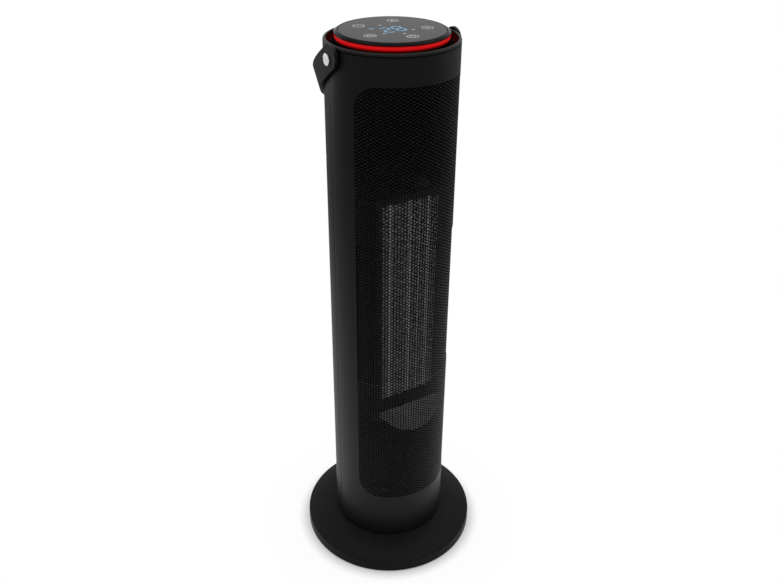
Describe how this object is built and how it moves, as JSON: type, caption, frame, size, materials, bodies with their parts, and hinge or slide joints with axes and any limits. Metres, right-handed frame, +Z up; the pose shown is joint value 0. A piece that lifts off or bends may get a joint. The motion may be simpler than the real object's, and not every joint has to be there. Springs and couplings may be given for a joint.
{
  "type": "tower fan heater",
  "caption": "Slim upright fan heater: round swivelling column with a perforated outlet grille, touch panel with a light ring, folding carry handle and a round base.",
  "frame": {"origin": "on the floor under the centre of the round base, on the axis that the column swings about", "axes": "+Z up along the column; -Y to the front, the way the warm air leaves; +X to the right seen from the front"},
  "size_m": [0.2326, 0.2326, 0.702],
  "materials": {
    "satin_black": "satin moulded plastic with a very fine grain",
    "base_black": "smooth satin moulded plastic",
    "rim_black": "smooth half-gloss moulded plastic",
    "grille_black": "satin black powder coat on thin sheet",
    "bezel_grey": "polished bevel",
    "panel_black": "smooth touch surface",
    "ring_red": "translucent light guide, lit red",
    "handle_black": "satin strap",
    "pin_steel": "polished",
    "zinc_steel": "zinc plated",
    "shaft_steel": "ground",
    "foot_rubber": "soft",
    "nylon_white": "natural nylon",
    "inner_black": "plain heat-resistant moulding",
    "sill_grey": "plain moulding",
    "fin_aluminium": "mill finish",
    "tube_aluminium": "bright drawn",
    "terminal_brass": "plain",
    "board_green": "solder mask",
    "relay_case": "plain",
    "core_steel": "varnished laminations",
    "capacitor_sleeve": "shrink sleeve",
    "motor_can": "galvanised",
    "cutout_ceramic": "phenolic",
    "fan_black": "moulded",
    "switch_black": "moulded",
    "digit_blue": "lit figures behind the panel",
    "lamp_white": "small lit lamps and printed signs"
  },
  "bodies": {
    "base": {"base_cover": "base_black", "base_plate": "base_black", "base_feet": "foot_rubber", "base_screws": "zinc_steel", "cord_gland": "satin_black", "swivel_bush": "nylon_white", "swing_motor": "motor_can"},
    "column": {"column_floor": "satin_black", "gear_sector": "nylon_white", "gear_screws": "zinc_steel", "front_shell": "satin_black", "front_grille": "grille_black", "rear_shell": "satin_black", "seam_screws": "zinc_steel", "top_tray": "rim_black", "light_ring": "ring_red", "panel_bezel": "bezel_grey", "panel_glass": "panel_black", "display_board": "board_green", "touch_springs": "terminal_brass", "digit_block": "digit_blue", "panel_lamps": "lamp_white", "pivot_screws": "pin_steel", "pivot_washers": "nylon_white", "case_floor": "inner_black", "case_roof": "inner_black", "outlet_sill": "sill_grey", "scroll_wall": "inner_black", "tongue_wall": "inner_black", "top_bearing": "foot_rubber", "fan_motor": "motor_can", "motor_bracket": "zinc_steel", "motor_mounts": "foot_rubber", "element_frame": "inner_black", "heater_tubes": "tube_aluminium", "fin_plates": "fin_aluminium", "heater_fins": "fin_aluminium", "heater_terminals": "terminal_brass", "thermal_cutout": "cutout_ceramic", "board_carrier": "inner_black", "power_board": "board_green", "power_relays": "relay_case", "power_transformer": "core_steel", "filter_capacitor": "capacitor_sleeve", "tilt_switch": "inner_black", "switch_body": "switch_black"},
    "swing_drive": {"swing_pinion": "nylon_white", "swing_shaft": "shaft_steel"},
    "fan": {"impeller": "fan_black", "fan_shaft": "shaft_steel", "fan_stub": "shaft_steel"},
    "handle": {"handle_strap": "handle_black"},
    "rocker": {"switch_rocker": "switch_black"}
  },
  "joints": [
    {"name": "column_swing", "type": "hinge", "parent": "base", "child": "column", "pos_m": [0, 0, 0.03], "axis": [0, 0, 1], "range_deg": [-35, 35]},
    {"name": "pinion_spin", "type": "hinge", "parent": "base", "child": "swing_drive", "pos_m": [0, 0.0661, 0.02], "axis": [0, 0, 1], "range_deg": [-160, 160]},
    {"name": "fan_spin", "type": "hinge", "parent": "column", "child": "fan", "pos_m": [-0.004, 0.021, 0.38], "axis": [0, 0, 1], "continuous": true},
    {"name": "handle_fold", "type": "hinge", "parent": "column", "child": "handle", "pos_m": [0, 0, 0.68], "axis": [1, 0, 0], "range_deg": [0, 250]},
    {"name": "rocker_tip", "type": "hinge", "parent": "column", "child": "rocker", "pos_m": [0, 0.07353, 0.074], "axis": [1, 0, 0], "range_deg": [-18, 0]}
  ],
  "couplings": [
    {"joint": "pinion_spin", "follows": "column_swing", "ratio": -4.5}
  ]
}
